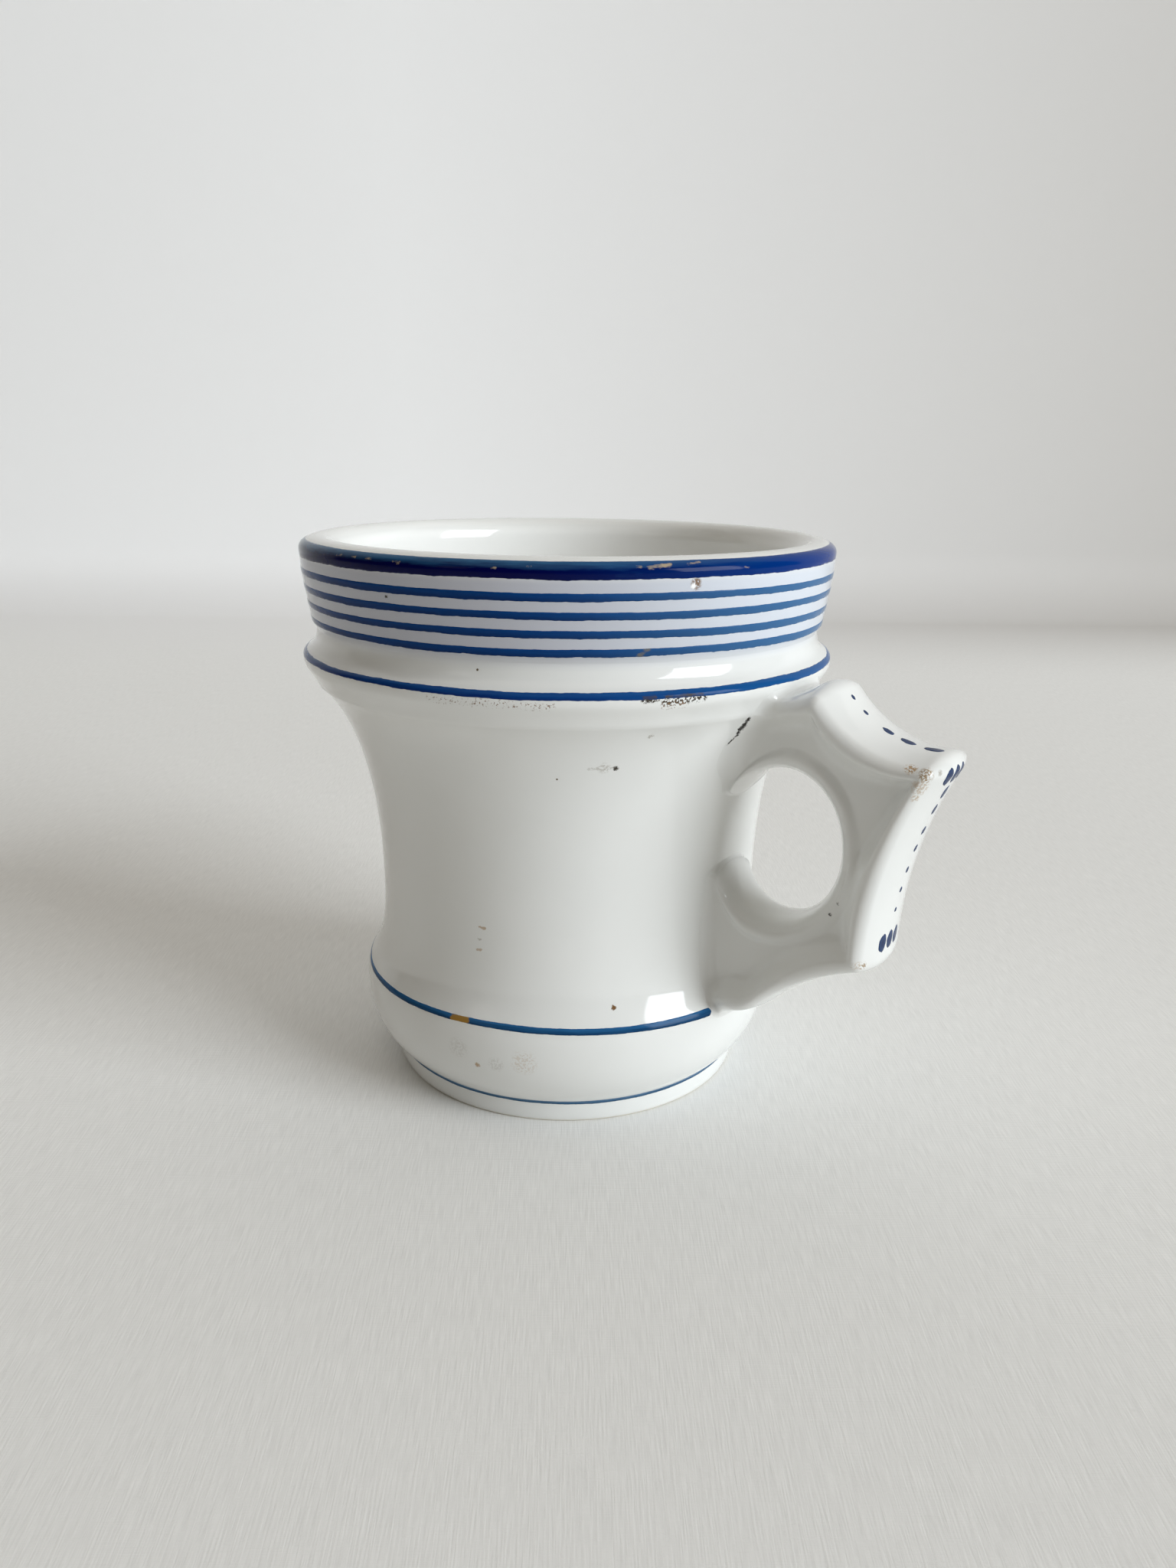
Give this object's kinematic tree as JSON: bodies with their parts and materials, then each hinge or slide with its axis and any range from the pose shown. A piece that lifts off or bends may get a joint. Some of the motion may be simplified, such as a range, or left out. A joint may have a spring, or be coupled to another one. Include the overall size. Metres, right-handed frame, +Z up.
{
  "type": "brulot cup",
  "caption": "Thick-walled white porcelain coffee cup with a flared collar, a waisted body, a beaded shoulder, cobalt-blue painted lines and a knuckle handle.",
  "frame": {"origin": "centre of the foot ring on the plane that the cup stands on", "axes": "+Z up along the cup's axis, +X from the axis through the middle of the handle, +Y to the left of the handle as seen from the axis"},
  "size_m": [0.1105, 0.0862, 0.09],
  "materials": {
    "porcelain": "gloss",
    "slip": "gloss",
    "cobalt": "gloss"
  },
  "bodies": {
    "root": {"cup_body": "porcelain", "handle": "porcelain", "upper_slip_joint": "slip", "lower_slip_joint": "slip", "rim_band": "cobalt", "collar_line_1": "cobalt", "collar_line_2": "cobalt", "collar_line_3": "cobalt", "collar_line_4": "cobalt", "bead_line": "cobalt", "base_line": "cobalt", "foot_line": "cobalt", "handle_top_dots": "cobalt", "handle_spine_dots": "cobalt", "upper_corner_dots": "cobalt", "lower_corner_dots": "cobalt"}
  },
  "joints": []
}
